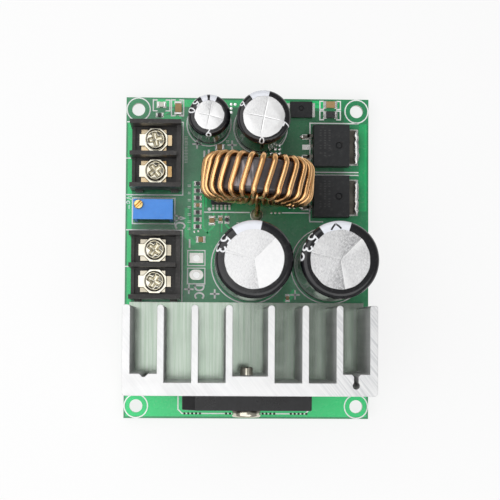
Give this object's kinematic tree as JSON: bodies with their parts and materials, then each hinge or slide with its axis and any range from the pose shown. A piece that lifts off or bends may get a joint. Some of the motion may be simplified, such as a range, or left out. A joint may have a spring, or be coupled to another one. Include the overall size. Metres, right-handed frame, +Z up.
{
  "type": "buck converter module",
  "caption": "Power module on a green board: screw terminals, finned heatsink with a clamped-on rectifier, ring choke, electrolytic capacitors and a trimmer.",
  "frame": {"origin": "centre of the four mounting holes, on the underside of the board", "axes": "+Z up out of the board's component side, +Y along the board's long side away from the heatsink, terminals on the -X side"},
  "size_m": [0.06, 0.079, 0.0337],
  "materials": {
    "board_laminate": "green solder mask over glass laminate, glossy",
    "tinned_copper": "tin plated, soft sheen",
    "solder": "solder, bright and slightly lumpy",
    "silicone_sheet": "grey silicone sheet, semi-gloss",
    "extruded_aluminium": "plain extruded aluminium with sawn ends",
    "tinned_steel": "tinned steel",
    "plated_steel": "nickel plated steel",
    "terminal_plastic": "black moulded plastic",
    "contact_brass": "stamped brass",
    "trimmer_plastic": "blue moulded plastic",
    "screw_brass": "turned brass",
    "can_aluminium": "drawn aluminium",
    "capacitor_sleeve": "shrunk black sleeve with a pale stripe, glossy",
    "seal_rubber": "moulded rubber",
    "coated_core": "iron powder core with a dark coating",
    "enamelled_copper": "copper wire with clear enamel",
    "moulded_epoxy": "black moulding compound",
    "led_resin": "white package with clear resin",
    "ceramic": "tan ceramic",
    "resistor_glaze": "black glazed ceramic"
  },
  "bodies": {
    "board": {"circuit_board": "board_laminate", "wire_pads": "tinned_copper", "solder_joints": "solder", "insulating_sheet": "silicone_sheet", "heatsink": "extruded_aluminium", "heatsink_pins": "tinned_steel", "bridge_rectifier": "moulded_epoxy", "bridge_leads": "tinned_copper", "bridge_screw": "plated_steel", "output_housing": "terminal_plastic", "output_contacts": "contact_brass", "input_housing": "terminal_plastic", "input_contacts": "contact_brass", "trimmer_body": "trimmer_plastic", "trimmer_pins": "tinned_copper", "right_capacitor_can": "can_aluminium", "right_capacitor_sleeve": "capacitor_sleeve", "right_capacitor_seal": "seal_rubber", "left_capacitor_can": "can_aluminium", "left_capacitor_sleeve": "capacitor_sleeve", "left_capacitor_seal": "seal_rubber", "medium_capacitor_can": "can_aluminium", "medium_capacitor_sleeve": "capacitor_sleeve", "medium_capacitor_seal": "seal_rubber", "small_capacitor_can": "can_aluminium", "small_capacitor_sleeve": "capacitor_sleeve", "small_capacitor_seal": "seal_rubber", "capacitor_leads": "tinned_copper", "choke_core": "coated_core", "choke_winding": "enamelled_copper", "upper_mosfet_case": "moulded_epoxy", "upper_mosfet_frame": "tinned_copper", "lower_mosfet_case": "moulded_epoxy", "lower_mosfet_frame": "tinned_copper", "diode_case": "moulded_epoxy", "diode_terminals": "tinned_copper", "controller_case": "moulded_epoxy", "controller_leads": "tinned_copper", "indicator_led": "led_resin", "chip_capacitors": "ceramic", "chip_resistors": "resistor_glaze", "chip_ends": "solder"},
    "output_clamp_1": {"output_clamp_1": "plated_steel"},
    "output_screw_1": {"output_screw_1": "plated_steel"},
    "output_clamp_2": {"output_clamp_2": "plated_steel"},
    "output_screw_2": {"output_screw_2": "plated_steel"},
    "input_clamp_1": {"input_clamp_1": "plated_steel"},
    "input_screw_1": {"input_screw_1": "plated_steel"},
    "input_clamp_2": {"input_clamp_2": "plated_steel"},
    "input_screw_2": {"input_screw_2": "plated_steel"},
    "trimmer_screw": {"trimmer_screw": "screw_brass"}
  },
  "joints": [
    {"name": "output_lift_1", "type": "slide", "parent": "board", "child": "output_clamp_1", "axis": [0, 0, 1], "range_m": [0, 0.0025]},
    {"name": "output_turn_1", "type": "hinge", "parent": "output_clamp_1", "child": "output_screw_1", "pos_m": [-0.02255, 0.02057, 0.009], "axis": [0, 0, 1], "range_deg": [0, 1800]},
    {"name": "output_lift_2", "type": "slide", "parent": "board", "child": "output_clamp_2", "axis": [0, 0, 1], "range_m": [0, 0.0025]},
    {"name": "output_turn_2", "type": "hinge", "parent": "output_clamp_2", "child": "output_screw_2", "pos_m": [-0.02255, 0.02819, 0.009], "axis": [0, 0, 1], "range_deg": [0, 1800]},
    {"name": "input_lift_1", "type": "slide", "parent": "board", "child": "input_clamp_1", "axis": [0, 0, 1], "range_m": [0, 0.0025]},
    {"name": "input_turn_1", "type": "hinge", "parent": "input_clamp_1", "child": "input_screw_1", "pos_m": [-0.02255, -0.00619, 0.009], "axis": [0, 0, 1], "range_deg": [0, 1800]},
    {"name": "input_lift_2", "type": "slide", "parent": "board", "child": "input_clamp_2", "axis": [0, 0, 1], "range_m": [0, 0.0025]},
    {"name": "input_turn_2", "type": "hinge", "parent": "input_clamp_2", "child": "input_screw_2", "pos_m": [-0.02255, 0.00143, 0.009], "axis": [0, 0, 1], "range_deg": [0, 1800]},
    {"name": "trimmer_turn", "type": "hinge", "parent": "board", "child": "trimmer_screw", "pos_m": [-0.0264, 0.01212, 0.011], "axis": [0, 0, 1], "continuous": true}
  ],
  "couplings": [
    {"joint": "output_turn_1", "follows": "output_lift_1", "rad_per_m": 12566},
    {"joint": "output_turn_2", "follows": "output_lift_2", "rad_per_m": 12566},
    {"joint": "input_turn_1", "follows": "input_lift_1", "rad_per_m": 12566},
    {"joint": "input_turn_2", "follows": "input_lift_2", "rad_per_m": 12566}
  ]
}
